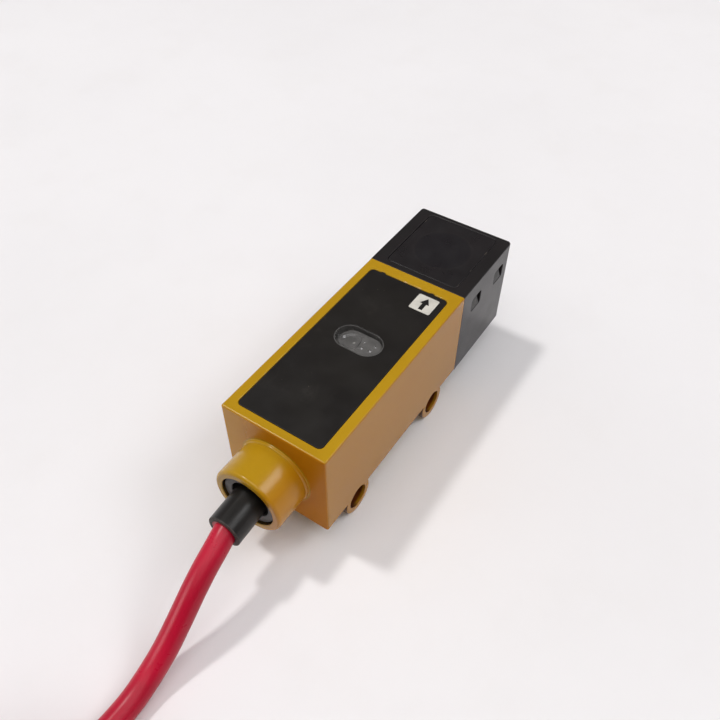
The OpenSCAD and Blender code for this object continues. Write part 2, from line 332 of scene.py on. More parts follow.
# ------------------------------------------------------------------ materials
class Mat:
    """A node material built step by step on its Principled shader."""

    def __init__(self, name, **values):
        self.m = bpy.data.materials.new(name)
        self.m.use_nodes = True
        self.t = self.m.node_tree
        self.b = next(n for n in self.t.nodes if n.type == "BSDF_PRINCIPLED")
        for k, v in values.items():
            self.set(k.replace("_", " "), v)
        self.co = self.t.nodes.new("ShaderNodeTexCoord")

    def set(self, socket, value):
        names = {s.name.lower(): s for s in self.b.inputs}
        s = names[socket.lower()]
        if s.type == "RGBA" and len(value) == 3:
            value = (*value, 1)
        s.default_value = value

    def link(self, out, socket):
        names = {s.name.lower(): s for s in self.b.inputs}
        self.t.links.new(out, names[socket.lower()])

    def map(self, scale=(1, 1, 1), loc=(0, 0, 0), rot=(0, 0, 0)):
        n = self.t.nodes.new("ShaderNodeMapping")
        n.inputs["Scale"].default_value = scale
        n.inputs["Location"].default_value = loc
        n.inputs["Rotation"].default_value = rot
        self.t.links.new(self.co.outputs["Object"], n.inputs["Vector"])
        return n.outputs["Vector"]

    def noise(self, scale, detail=3.0, rough=0.5, vec=None, distort=0.0):
        n = self.t.nodes.new("ShaderNodeTexNoise")
        n.inputs["Scale"].default_value = scale
        n.inputs["Detail"].default_value = detail
        n.inputs["Roughness"].default_value = rough
        n.inputs["Distortion"].default_value = distort
        self.t.links.new(vec or self.co.outputs["Object"], n.inputs["Vector"])
        return n.outputs["Fac"]

    def voronoi(self, scale, feature="F1", vec=None):
        n = self.t.nodes.new("ShaderNodeTexVoronoi")
        n.feature = feature
        n.inputs["Scale"].default_value = scale
        self.t.links.new(vec or self.co.outputs["Object"], n.inputs["Vector"])
        return n.outputs["Distance"]

    def wave(self, scale, vec=None, distort=0.0, detail=0.0, axis="X"):
        n = self.t.nodes.new("ShaderNodeTexWave")
        n.bands_direction = axis
        n.inputs["Scale"].default_value = scale
        n.inputs["Distortion"].default_value = distort
        n.inputs["Detail"].default_value = detail
        self.t.links.new(vec or self.co.outputs["Object"], n.inputs["Vector"])
        return n.outputs["Fac"]

    def ramp(self, fac, lo, hi, a=0.0, b=1.0, smooth=True):
        """fac from lo..hi to a..b."""
        n = self.t.nodes.new("ShaderNodeMapRange")
        n.interpolation_type = "SMOOTHSTEP" if smooth else "LINEAR"
        for k, v in (("From Min", lo), ("From Max", hi), ("To Min", a), ("To Max", b)):
            n.inputs[k].default_value = v
        self.t.links.new(fac, n.inputs["Value"])
        return n.outputs["Result"]

    def math(self, op, a, b=None):
        n = self.t.nodes.new("ShaderNodeMath")
        n.operation = op
        for i, v in enumerate((a, b)):
            if v is None:
                continue
            if isinstance(v, (int, float)):
                n.inputs[i].default_value = v
            else:
                self.t.links.new(v, n.inputs[i])
        return n.outputs["Value"]

    def mix(self, fac, a, b):
        n = self.t.nodes.new("ShaderNodeMix")
        n.data_type = "RGBA"
        if isinstance(fac, (int, float)):
            n.inputs[0].default_value = fac
        else:
            self.t.links.new(fac, n.inputs[0])
        for i, v in ((6, a), (7, b)):
            if isinstance(v, (tuple, list)):
                n.inputs[i].default_value = (*v[:3], 1)
            else:
                self.t.links.new(v, n.inputs[i])
        return n.outputs[2]

    def bump(self, height, strength, distance, after=None):
        n = self.t.nodes.new("ShaderNodeBump")
        n.inputs["Strength"].default_value = strength
        n.inputs["Distance"].default_value = distance
        self.t.links.new(height, n.inputs["Height"])
        if after is not None:
            self.t.links.new(after, n.inputs["Normal"])
        return n.outputs["Normal"]

    def xyz(self, vec=None):
        n = self.t.nodes.new("ShaderNodeSeparateXYZ")
        self.t.links.new(vec or self.co.outputs["Object"], n.inputs[0])
        return n.outputs


def srgb(r, g, b):
    return tuple((c / 12.92 if c <= 0.04045 else ((c + 0.055) / 1.055) ** 2.4) for c in (r / 255, g / 255, b / 255))


def toned(m, a, b, scale, lo=0.35, hi=0.65, **kw):
    """Base colour that drifts between two near tones."""
    c = m.mix(m.ramp(m.noise(scale, **kw), lo, hi), a, b)
    return c


def m_paint():
    m = Mat("yellow_paint", Roughness=0.22, IOR=1.5, Specular_IOR_Level=0.32)
    c = toned(m, srgb(184, 143, 24), srgb(178, 136, 18), 70, detail=4)
    dirt = m.ramp(m.noise(150, 5, 0.6), 0.6, 0.8, 0, 0.16)
    c = m.mix(dirt, c, srgb(158, 114, 18))
    x, y, z = m.xyz()
    # the paint is worn to a pale line along the recess edge nearest the head
    line = m.math("MULTIPLY", m.ramp(y, (Y_REAR + 40.6) / 1000, (Y_REAR + 40.68) / 1000), m.ramp(y, (Y_REAR + 40.8) / 1000, (Y_REAR + 40.95) / 1000, 1, 0))
    line = m.math("MULTIPLY", line, m.ramp(z, 0.0236, 0.0238))
    fray = m.ramp(m.noise(420, 4, 0.7, vec=m.map(scale=(0.6, 0.1, 0.1))), 0.46, 0.56)
    span = m.math("MULTIPLY", m.ramp(x, -0.0047, -0.0042), m.ramp(x, 0.0036, 0.0041, 1, 0))
    c = m.mix(m.math("MULTIPLY", m.math("MULTIPLY", m.math("MULTIPLY", line, fray), span), 0.75), c, srgb(206, 176, 132))
    # painted shade: the two long sides are coloured a little more orange than the top, for how the light falls on them
    c = m.mix(m.ramp(m.math("ABSOLUTE", x), 0.00975, 0.00995, 0, 0.8), c, srgb(166, 108, 14))
    # painted shade: the end round the boss is coloured a darker, browner yellow, lighter on its left part and darker
    # right of the boss, and is made rougher and less shiny there
    dz0 = m.math("SUBTRACT", z, Z_AXIS / 1000)
    rb = m.math("SQRT", m.math("ADD", m.math("MULTIPLY", x, x), m.math("MULTIPLY", dz0, dz0)))
    end_dulling = m.math("MULTIPLY", m.ramp(y, (Y_REAR + 0.02) / 1000, (Y_REAR + 0.25) / 1000, 1, 0), m.ramp(rb, 0.00675, 0.0070))
    end_dulling = m.math("MULTIPLY", end_dulling, m.ramp(x, -0.009, 0.001, 0.1, 0.62))
    end = m.math("MULTIPLY", m.ramp(y, (Y_REAR + 0.02) / 1000, (Y_REAR + 0.25) / 1000, 1, 0), m.ramp(rb, 0.00675, 0.0070))
    c = m.mix(end, c, m.mix(m.ramp(x, -0.009, 0.001), m.mix(dirt, srgb(196, 142, 20), srgb(172, 114, 14)), m.mix(dirt, srgb(183, 116, 6), srgb(156, 92, 6))))
    # painted shade: the gland boss is coloured browner on its right flank
    boss_flank_shade = m.math("MULTIPLY", m.ramp(y, (Y_REAR - 0.1) / 1000, (Y_REAR + 0.02) / 1000, 1, 0), m.ramp(x, 0.0012, 0.0058, 0, 0.62))
    c = m.mix(boss_flank_shade, c, m.mix(dirt, srgb(184, 114, 8), srgb(160, 94, 8)))
    # painted shade: the wall inside the boss's bore is coloured near black
    boss_bore_shade = m.math("MULTIPLY", m.ramp(rb, 0.00498, 0.00508, 1, 0), m.ramp(y, (Y_BOSS + 0.1) / 1000, (Y_BOSS + 0.2) / 1000))
    c = m.mix(boss_bore_shade, c, srgb(44, 34, 22))
    # painted shade: the two bores are coloured darker orange round the mouth and dark brown deeper in
    for ly in LUG_Y:
        dy = m.math("SUBTRACT", y, ly / 1000)
        dz = m.math("SUBTRACT", z, LUG_R / 1000)
        r = m.math("SQRT", m.math("ADD", m.math("MULTIPLY", dy, dy), m.math("MULTIPLY", dz, dz)))
        bore_shade_tone = m.mix(m.ramp(m.noise(500, 4, 0.6), 0.35, 0.7), srgb(104, 48, 10), srgb(78, 33, 8))
        deep = m.math("MULTIPLY", m.ramp(r, 0.00228, 0.00236, 1, 0), m.ramp(m.math("ABSOLUTE", x), 0.0092, 0.0097, 1, 0))
        c = m.mix(m.ramp(r, 0.00228, 0.00236, 0.6, 0), c, srgb(146, 92, 24))
        c = m.mix(deep, c, bore_shade_tone)
        # painted shade: the corner between each lug and the base, on the side towards the cord end, is coloured dark
        # brown
        root = m.math("MULTIPLY", m.math("MULTIPLY", m.ramp(z, 0.0003, 0.0012), m.ramp(dy, -0.001, 0.0004, 1, 0)), m.ramp(z, 0.00466, 0.00474, 1, 0))
        root = m.math("MULTIPLY", m.math("MULTIPLY", root, m.ramp(m.math("ABSOLUTE", x), 0.0099, 0.00998, 1, 0)), m.ramp(m.math("ABSOLUTE", dy), 0.0038, 0.0052, 0.92, 0))
        c = m.mix(root, c, srgb(64, 32, 20))
    m.link(c, "base color")
    m.link(m.math("ADD", m.ramp(m.noise(120, 4, 0.6), 0.3, 0.7, 0.2, 0.25), m.math("MULTIPLY", end_dulling, 0.25)), "roughness")
    m.link(m.math("SUBTRACT", 0.34, m.math("MULTIPLY", end_dulling, 0.36)), "specular ior level")
    m.link(m.bump(m.noise(1500, 2, 0.45), 0.1, 0.00004), "normal")
    return m.m


def m_case():
    m = Mat("black_case", Roughness=0.34, IOR=1.5)
    c = toned(m, srgb(25, 22, 22), srgb(30, 26, 26), 120, detail=4)
    dust = m.ramp(m.voronoi(900), 0.04, 0.09, 0.6, 0.0)
    dust = m.math("MULTIPLY", dust, m.ramp(m.noise(75, 2), 0.6, 0.68))
    c = m.mix(dust, c, srgb(120, 116, 108))
    m.link(c, "base color")
    m.link(m.ramp(m.noise(210, 4, 0.6), 0.3, 0.7, 0.31, 0.36), "roughness")
    grain = m.bump(m.noise(5200, 2, 0.6), 0.28, 0.00003)
    m.link(m.bump(m.noise(420, 2, 0.5), 0.03, 0.00004, grain), "normal")
    return m.m


def m_window():
    m = Mat("dark_window", Roughness=0.3, IOR=1.52)
    x, y, _ = m.xyz()
    dx = m.math("SUBTRACT", x, LENS[0] / 1000)
    dy = m.math("SUBTRACT", y, LENS[1] / 1000)
    r = m.math("SQRT", m.math("ADD", m.math("MULTIPLY", dx, dx), m.math("MULTIPLY", dy, dy)))
    base = toned(m, srgb(24, 21, 22), srgb(28, 24, 25), 150, detail=3)
    # painted: the lens behind the pane is drawn on it as a slightly darker disc, with a faint painted highlight ring
    # round it
    seen = m.ramp(r, 0.0051, 0.0056, 0.75, 0.0)
    c = m.mix(seen, base, srgb(22, 19, 22))
    rim = m.math("MULTIPLY", m.ramp(r, 0.00525, 0.00555, 0, 1), m.ramp(r, 0.0056, 0.0060, 1, 0))
    c = m.mix(m.math("MULTIPLY", rim, 0.04), c, srgb(84, 80, 78))
    side = m.math("MULTIPLY", m.ramp(m.math("ABSOLUTE", m.math("SUBTRACT", x, 0.00003)), 0.00712, 0.00728), m.ramp(m.noise(420, 4, 0.7), 0.56, 0.66))
    c = m.mix(m.math("MULTIPLY", side, 0.45), c, srgb(104, 96, 86))
    smear = m.ramp(m.noise(330, 5, 0.65, distort=0.6), 0.58, 0.8, 0, 0.12)
    c = m.mix(smear, c, srgb(62, 60, 58))
    m.link(c, "base color")
    m.link(m.ramp(m.noise(240, 5, 0.6), 0.3, 0.75, 0.26, 0.42), "roughness")
    m.link(m.bump(m.noise(900, 2, 0.5), 0.06, 0.00004), "normal")
    return m.m


def m_label():
    m = Mat("label_black", Roughness=0.36, IOR=1.48, Specular_IOR_Level=0.4)
    c = toned(m, srgb(25, 22, 20), srgb(29, 26, 23), 140, detail=4)
    scuff = m.ramp(m.noise(170, 6, 0.7, distort=0.8), 0.56, 0.8, 0, 0.34)
    c = m.mix(scuff, c, srgb(66, 62, 58))
    dust = m.ramp(m.voronoi(800), 0.03, 0.07, 0.5, 0.0)
    c = m.mix(m.math("MULTIPLY", dust, m.ramp(m.noise(90, 2), 0.58, 0.66)), c, srgb(130, 124, 112))
    m.link(c, "base color")
    m.link(m.ramp(m.noise(200, 5, 0.65), 0.3, 0.7, 0.32, 0.42), "roughness")
    m.link(m.bump(m.noise(2600, 2, 0.5), 0.08, 0.00002), "normal")
    return m.m


def m_print():
    m = Mat("white_print", Roughness=0.5)
    c = toned(m, srgb(214, 210, 200), srgb(198, 194, 184), 500, detail=4)
    wear = m.ramp(m.noise(1500, 4, 0.7), 0.68, 0.78, 0, 0.5)
    m.link(m.mix(wear, c, srgb(120, 116, 108)), "base color")
    m.link(m.bump(m.noise(3000, 2), 0.1, 0.00003), "normal")
    return m.m


def m_clear(name="clear_plastic", tint=(124, 122, 120)):
    m = Mat(name, Roughness=0.08, IOR=1.49, Transmission_Weight=0.4)
    c = toned(m, srgb(*tint), tuple(v * 0.7 for v in srgb(*tint)), 330, detail=3)
    # fine moulding streaks, and painted highlights: a few near-white flecks standing in for glints inside the plastic
    wisp = m.noise(520, 3, 0.6, vec=m.map(scale=(1, 0.16, 1), rot=(0, 0, 0.5)))
    c = m.mix(m.ramp(wisp, 0.6, 0.7, 0, 0.5), c, srgb(176, 172, 168))
    c = m.mix(m.ramp(m.noise(700, 2, 0.5), 0.7, 0.78, 0, 0.7), c, srgb(224, 220, 214))
    m.link(c, "base color")
    scratch = m.noise(900, 4, 0.6, vec=m.map(scale=(1, 0.12, 1), rot=(0, 0, 0.9)))
    m.link(m.ramp(scratch, 0.45, 0.75, 0.05, 0.16), "roughness")
    m.link(m.bump(m.noise(420, 2, 0.5, distort=0.4), 0.08, 0.00008), "normal")
    return m.m


def m_bush():
    m = Mat("grey_plastic", Roughness=0.45)
    c = toned(m, srgb(66, 62, 59), srgb(55, 52, 50), 260, detail=4)
    c = m.mix(m.ramp(m.noise(800, 4, 0.7), 0.6, 0.8, 0, 0.35), c, srgb(100, 92, 88))
    m.link(c, "base color")
    m.link(m.ramp(m.noise(500, 4), 0.3, 0.7, 0.38, 0.55), "roughness")
    m.link(m.bump(m.noise(1800, 3, 0.6), 0.25, 0.00004), "normal")
    return m.m


def m_rubber(name="black_rubber", a=(22, 21, 20), b=(30, 28, 27)):
    m = Mat(name, Roughness=0.62, IOR=1.5)
    c = toned(m, srgb(*a), srgb(*b), 220, detail=4)
    c = m.mix(m.ramp(m.noise(700, 5, 0.7), 0.6, 0.82, 0, 0.3), c, srgb(84, 80, 76))
    m.link(c, "base color")
    m.link(m.ramp(m.noise(380, 4, 0.6), 0.3, 0.7, 0.52, 0.72), "roughness")
    m.link(m.bump(m.noise(2200, 3, 0.6), 0.3, 0.00004), "normal")
    return m.m


def m_pvc():
    m = Mat("red_pvc", Roughness=0.38, IOR=1.46, Subsurface_Weight=0.02, Specular_IOR_Level=0.32)
    m.b.inputs["Subsurface Radius"].default_value = (0.0008, 0.0001, 0.0002)
    c = toned(m, srgb(177, 18, 48), srgb(165, 13, 42), 130, detail=4)
    c = m.mix(m.ramp(m.noise(420, 5, 0.65), 0.58, 0.8, 0, 0.22), c, srgb(134, 16, 32))
    m.link(c, "base color")
    m.link(m.ramp(m.noise(260, 4, 0.6), 0.3, 0.7, 0.27, 0.34), "roughness")
    fine = m.bump(m.noise(1900, 2, 0.5), 0.1, 0.00003)
    m.link(m.bump(m.noise(240, 2, 0.5), 0.14, 0.0001, fine), "normal")
    return m.m


def m_sleeve():
    """Glossy black rubber with long shallow streaks, dull and lighter on its cut end."""
    m = Mat("black_sleeve", Roughness=0.36, IOR=1.5, Specular_IOR_Level=0.38)
    c = toned(m, srgb(19, 16, 13), srgb(26, 22, 19), 220, detail=4)
    _, y, _ = m.xyz()
    end = m.ramp(y, (Y_TIP + 0.1) / 1000, (Y_TIP + 0.24) / 1000, 1, 0)
    c = m.mix(end, c, m.mix(m.ramp(m.noise(900, 4, 0.6), 0.35, 0.7), srgb(74, 70, 66), srgb(54, 50, 47)))
    m.link(c, "base color")
    streak = m.noise(1100, 3, 0.6, vec=m.map(scale=(1, 0.08, 1)))
    m.link(m.math("ADD", m.ramp(streak, 0.3, 0.7, 0.3, 0.42), m.math("MULTIPLY", end, 0.3)), "roughness")
    m.link(m.bump(streak, 0.22, 0.00008), "normal")
    return m.m


def m_plastic(name, a, b, rough=0.4, scale=500):
    m = Mat(name, Roughness=rough)
    m.link(toned(m, srgb(*a), srgb(*b), scale, detail=3), "base color")
    m.link(m.ramp(m.noise(scale * 2, 3), 0.3, 0.7, rough - 0.06, rough + 0.08), "roughness")
    m.link(m.bump(m.noise(scale * 5, 2), 0.15, 0.00003), "normal")
    return m.m


def m_metal(name, a, b, rough=0.3, scale=900, stretch=(1, 1, 1)):
    m = Mat(name, Roughness=rough, Metallic=1.0)
    v = m.map(scale=stretch)
    m.link(toned(m, srgb(*a), srgb(*b), scale, vec=v, detail=4), "base color")
    m.link(m.ramp(m.noise(scale * 2, 4, 0.6, vec=v), 0.3, 0.7, rough - 0.08, rough + 0.12), "roughness")
    m.link(m.bump(m.noise(scale * 4, 2, vec=v), 0.2, 0.00002), "normal")
    return m.m


def m_board():
    m = Mat("green_board", Roughness=0.35)
    c = toned(m, srgb(24, 92, 54), srgb(30, 104, 60), 200, detail=3)
    tracks = m.ramp(m.wave(170, m.map(rot=(0, 0, 0.0)), distort=9.0, detail=1.0), 0.72, 0.8, 0, 0.55)
    c = m.mix(tracks, c, srgb(60, 140, 78))
    pads = m.ramp(m.voronoi(420), 0.12, 0.16, 0.9, 0)
    c = m.mix(m.math("MULTIPLY", pads, m.ramp(m.noise(160, 1), 0.55, 0.6)), c, srgb(190, 188, 178))
    m.link(c, "base color")
    m.link(m.ramp(m.noise(600, 3), 0.3, 0.7, 0.28, 0.45), "roughness")
    m.link(m.bump(tracks, 0.4, 0.00004), "normal")
    return m.m


def m_tinted(name, a, b, rough=0.12, trans=0.6):
    m = Mat(name, Roughness=rough, IOR=1.52, Transmission_Weight=trans)
    m.link(toned(m, srgb(*a), srgb(*b), 600, detail=3), "base color")
    m.link(m.ramp(m.noise(900, 3), 0.3, 0.7, rough, rough + 0.14), "roughness")
    return m.m


def m_floor():
    m = Mat("floor_paper", Roughness=0.72, IOR=1.35)
    c = toned(m, srgb(238, 236, 237), srgb(241, 239, 240), 9, detail=3)
    c = m.mix(m.ramp(m.noise(60, 5, 0.6), 0.45, 0.75, 0, 0.2), c, srgb(233, 230, 229))
    m.link(c, "base color")
    m.link(m.bump(m.noise(700, 3, 0.6), 0.05, 0.0001), "normal")
    return m.m


M = {
    "paint": m_paint(), "case": m_case(), "window": m_window(), "label": m_label(), "print": m_print(),
    "clear": m_clear(), "bush": m_bush(), "rubber": m_rubber(), "sleeve": m_sleeve(), "pvc": m_pvc(),
    "brown": m_plastic("brown_pvc", (98, 58, 38), (84, 48, 32)),
    "blue": m_plastic("blue_pvc", (36, 78, 164), (30, 66, 146)),
    "pink": m_plastic("pink_pvc", (224, 146, 170), (212, 132, 158)),
    "tinned": m_metal("tinned_copper", (205, 203, 198), (180, 178, 172), 0.28),
    "steel": m_metal("steel", (188, 188, 190), (160, 160, 164), 0.32),
    "gold": m_metal("gold_pins", (212, 180, 104), (190, 158, 88), 0.26),
    "board": m_board(), "epoxy": m_plastic("black_epoxy", (30, 30, 32), (38, 38, 40), 0.5),
    "ceramic": m_plastic("ceramic", (196, 166, 120), (180, 150, 106), 0.5),
    "red_lens": m_tinted("red_lens", (226, 40, 34), (206, 28, 26)),
    "ir": m_tinted("ir_epoxy", (70, 72, 104), (56, 58, 90)),
    "barrel": m_plastic("barrel_black", (32, 32, 34), (26, 26, 28), 0.5),
}


# ------------------------------------------------------------------ camera, floor and light
cam_data = bpy.data.cameras.new("camera")
cam = bpy.data.objects.new("camera", cam_data)
scene.collection.objects.link(cam)
cam_data.sensor_width, cam_data.lens = 36.0, 36.82
cam_data.clip_start, cam_data.clip_end = 0.005, 20
cam.matrix_world = Matrix((
    (0.832420, -0.412865, 0.369620, 0.047563),
    (0.554087, 0.610502, -0.565928, -0.073175),
    (0.007998, 0.675892, 0.736958, 0.113231),
    (0, 0, 0, 1)))
scene.camera = cam

floor = mesh("floor", [(-4000, -4000, 0), (4000, -4000, 0), (4000, 4000, 0), (-4000, 4000, 0)], [(0, 1, 2, 3)])
floor.data.transform(Matrix.Scale(0.001, 4))
floor.data.materials.append(m_floor())

world = bpy.data.worlds.new("room")
scene.world = world
world.use_nodes = True
bg = next(n for n in world.node_tree.nodes if n.type == "BACKGROUND")
wt = world.node_tree
w_co = wt.nodes.new("ShaderNodeTexCoord")


def toward(direction, lo, hi):
    """0..1 by how nearly the view into the room points in a direction; lo and hi are cosines."""
    d = wt.nodes.new("ShaderNodeVectorMath")
    d.operation = "DOT_PRODUCT"
    wt.links.new(w_co.outputs["Generated"], d.inputs[0])
    d.inputs[1].default_value = Vector(direction).normalized()
    r = wt.nodes.new("ShaderNodeMapRange")
    r.interpolation_type = "SMOOTHSTEP"
    r.inputs["From Min"].default_value, r.inputs["From Max"].default_value = lo, hi
    wt.links.new(d.outputs["Value"], r.inputs["Value"])
    return r.outputs["Result"]


def room(fac, a, b):
    n = wt.nodes.new("ShaderNodeMix")
    n.data_type = "RGBA"
    wt.links.new(fac, n.inputs[0])
    for i, v in ((6, a), (7, b)):
        if isinstance(v, tuple):
            n.inputs[i].default_value = (*v, 1)
        else:
            wt.links.new(v, n.inputs[i])
    return n.outputs[2]


w_col = room(toward((-1, -0.2, 0.3), -0.1, 0.9), (0.31, 0.31, 0.32), (0.56, 0.56, 0.58))
w_col = room(toward((0.2, -1.0, 0.15), 0.1, 0.8), w_col, (0.07, 0.06, 0.055))
w_col = room(toward((-0.38, 0.59, 0.71), 0.6, 0.95), w_col, (0.14, 0.135, 0.14))
w_col = room(toward((0.547, 0.40, 0.735), 0.970, 0.990), w_col, (5.6, 5.6, 5.7))
wt.links.new(w_col, bg.inputs["Color"])
bg.inputs["Strength"].default_value = 1.0


def sun(name, towards, strength, angle, colour=(1, 1, 1)):
    """A far light seen in the direction towards; angle is how wide it looks, in degrees."""
    d = bpy.data.lights.new(name, "SUN")
    d.energy, d.angle, d.color = strength, math.radians(angle), colour
    o = bpy.data.objects.new(name, d)
    scene.collection.objects.link(o)
    o.rotation_euler = Vector(towards).to_track_quat("Z", "Y").to_euler()
    return o


sun("ceiling", (-0.48, -0.06, 1), 1.05, 6, (1.0, 0.985, 0.965))
sun("left_front", (-0.43, -0.72, 1), 0.16, 30, (1.0, 0.98, 0.96))
sun("right", (0.87, 0.0, 1), 0.16, 30, (1.0, 0.98, 0.97))
sun("overhead", (0.2, -0.26, 1), 0.93, 52, (1.0, 0.995, 0.99))
# a soft lamp low on the left that shines on the cord alone and lays the long gleam on it
gleam = sun("cord_gleam", (-0.5, -0.75, 0.44), 1.0, 30, (1.0, 0.97, 0.98))
scene.view_settings.view_transform = "Standard"
scene.view_settings.look = "None"

# ------------------------------------------------------------------ cord: free stretch, then the folded hank
R_OUT, R_IN = 15.6, 11.7
SEQ = [("o", 0), ("i", 0), ("i", 1), ("o", 1), ("o", 2), ("i", 2), ("i", 3), ("o", 3), ("o", 4), ("i", 4)]
RUN = 0.295
T_END = 9 + RUN * 4.0 / 62.0


def step(x):
    x = min(max(x, 0.0), 1.0)
    return x * x * (3 - 2 * x)


def hank_state(t):
    """Radius and layer height of the turn at t laps."""
    col, lay = SEQ[0]
    r, z = (R_OUT if col == "o" else R_IN), float(lay)
    for k in range(1, len(SEQ)):
        c = k - 0.12 - (k - 1) * 0.08
        w = step((t - (c - 0.04)) / 0.08)
        r1, z1 = (R_OUT if SEQ[k][0] == "o" else R_IN), float(SEQ[k][1])
        r, z = r + (r1 - r) * w, z + (z1 - z) * w
    return r, z


def squeeze(side, y, lay):
    """How much a tie lifts and squeezes the turn under it."""
    for s, ty in TIES:
        if s == side:
            w = 1 - step((abs(y - ty) - 1.2) / 6.0)
            return w * (0.5 - 0.12 * lay)
    return 0.0


def hank_point(t):
    r, lay = hank_state(t)
    f = t % 1.0
    z = CORD_R + 3.9 * lay
    if f < RUN:
        y = HANK_Y0 + (HANK_Y1 - HANK_Y0) * f / RUN
        return Vector((HANK_X - r, y, z + squeeze(-1, y, lay)))
    if f < 0.5:
        a = math.pi + math.pi * (f - RUN) / (0.5 - RUN)
        y = HANK_Y1 + r * math.sin(a)
        return Vector((HANK_X + r * math.cos(a), y, z + (squeeze(-1, y, lay) if math.cos(a) < 0 else 0) * step(-math.cos(a) * 2)))
    if f < 0.5 + RUN:
        y = HANK_Y1 + (HANK_Y0 - HANK_Y1) * (f - 0.5) / RUN
        return Vector((HANK_X + r, y, z + squeeze(1, y, lay)))
    a = math.pi * (f - 0.5 - RUN) / (0.5 - RUN)
    return Vector((HANK_X + r * math.cos(a), HANK_Y0 + r * math.sin(a), z))


lead_in = [(0, -34.0, 14.25), (0.1, -35.6, 14.16), (0.4, -37.7, 13.88)] + ROUTE[1:11] + [(-4.5, -80, 1.95), (-7.2, -85.5, 1.95), (-8.1, -91.0, 1.95)]
free = smooth_path(lead_in, 1.0)
for p in free:  # the cord rests on the floor and never dips into it
    p.z = max(p.z, CORD_R + 0.008)
turns = even([hank_point(1.0 / 62.0 * RUN + k * (T_END - RUN / 62.0) / 4000) for k in range(4001)], 2.2)
path = free + [p for p in turns if (p - free[-1]).length > 1.0 or p is not turns[0]][1:]
cord = sweep("cord_jacket", path, CORD_R, 22)
piece(cord, M["pvc"], "red_pvc", "cable", "cable_hank", angle=40, weighted=False)
lit = bpy.data.collections.new("lit_by_gleam")
lit.objects.link(cord)
gleam.light_linking.receiver_collection = lit
jacket = sum((b - a).length for a, b in zip(path, path[1:]))

# ties round the two runs of the hank: a flat strip with its ends twisted together on top
tie_parts = []
for side, ty in TIES:
    x0, x1 = (HANK_X - 17.55, HANK_X - 9.75) if side < 0 else (HANK_X + 9.75, HANK_X + 17.55)
    loop = [Vector((u, ty, v)) for u, v in rrect(x0 - 0.22, x1 + 0.22, 0.25, 19.72, 1.5, 8)]
    loop = even(loop + [loop[0]], 0.8)[:-1]
    m = len(loop)
    rings = []
    for i, p in enumerate(loop):
        t = (loop[(i + 1) % m] - loop[i - 1]).normalized()
        o = Vector((0, 1, 0)).cross(t)
        rings.append([tuple(p + Vector((0, 1, 0)) * c + o * s) for c, s in rrect(-1.15, 1.15, -0.21, 0.21, 0.2, 3)])
    tie_parts.append(loft("cord_ties" if not tie_parts else "tie", rings, closed=True))
    # the twisted ends lie flat along the top of the tie's own run
    cx = (x0 + x1) / 2
    for s in (0, math.pi):
        pts = [Vector((cx - 2.2 + 0.42 * math.cos(0.9 * k + s), ty - 1.0 - 0.55 * k, 19.3 + 0.34 + 0.3 * math.sin(0.9 * k + s))) for k in range(15)]
        tie_parts.append(sweep("tie_end", smooth_path(pts, 0.35), 0.3, 8))
ties = merge(*tie_parts)
piece(ties, M["rubber"], "black_rubber", "hank_ties", angle=40)

# stripped leads in the hank's step, and their bare ends
random.seed(7)
for i, (key, x, z) in enumerate((("brown", -5.4, 16.15), ("blue", -4.2, 16.15), ("pink", -3.0, 16.15))):
    off = ((-0.72, 17.1), (0.0, 18.25), (0.72, 17.1))[i]
    pts = [(-4.2 + off[0], -93.2, off[1]), (-4.2 + off[0] * 1.1, -95.5, off[1] - 0.05), (x * 0.8 - 0.2 * 4.2, -98.5, z + 0.75), (x, -102, z + 0.06),
           (x + (-0.12, 0.1, 0.14)[i], -107, z), (x, -113, z), (x + (-0.1, -0.12, 0.08)[i], -119, z), (x, -124, z)]
    run = smooth_path(pts, 0.8)
    w = sweep("wire_" + key, run, 0.55, 14)
    piece(w, M[key], key + "_pvc", "lead_" + key, angle=40, weighted=False)
tips = []
for x in (-5.4, -4.2, -3.0):
    for k in range(7):
        a0 = 2 * math.pi * k / 6
        rr = 0.0 if k == 6 else 0.22
        pts = [Vector((x + rr * math.cos(a0 + 0.35 * j), -123.5 - 0.42 * j, 16.15 + rr * math.sin(a0 + 0.35 * j))) for j in range(16)]
        tips.append(sweep("wire_tips" if not tips else "strand", pts, 0.115, 6))
tips = merge(*tips)
piece(tips, M["tinned"], "tinned_copper", "lead_tips", angle=50, weighted=False)

print("jacket length mm", round(jacket, 1))

# ------------------------------------------------------------------ housing
def far_in(y, r, end):
    d = y - (end - r)
    return 0.0 if d <= 0 else r - math.sqrt(max(r * r - d * d, 0.0))


body = slab("housing_shell", rect_out(-HW, HW, Z_BASE, Z_TOP, [0.3, 0.3, 0.55, 0.55], 7), Y_REAR, Y_SEAM, 0.3, 0.1, to_y)
boss_prof = [(0, Y_BOSS)] + [(5.8 + r, h) for r, h in [(0.6 * math.sin(math.radians(a)), Y_BOSS + 0.6 * (1 - math.cos(math.radians(a)))) for a in range(0, 91, 15)]] \
    + [(6.4, -25.5), (6.34, -25.34), (6.36, -25.22), (6.48, -25.12), (6.54, -25.02), (6.56, -24.9), (6.54, -24.78), (6.58, -24.67), (6.74, -24.6), (6.74, -23.9), (0, -23.9)]
boss_prof = boss_prof[1:-1]
boss = lathe("boss", boss_prof, "Y", (0, 0, Z_AXIS))
add(body, boss)
for y in LUG_Y:
    e = 0.28
    end = [(LUG_R - e + e * math.sin(math.radians(a)), -9.985 + e * (1 - math.cos(math.radians(a)))) for a in range(0, 91, 15)]
    prof = [(0, 0)] + end + [(r, -h) for r, h in reversed(end)] + [(0, 0)]
    add(body, lathe("lug", prof[1:-1], "X", (0, y, LUG_R)))
cut(body, block("cavity", -8.5, 8.5, Y_REAR + 1.8, Y_SEAM + 2, 6.1, 22.1))
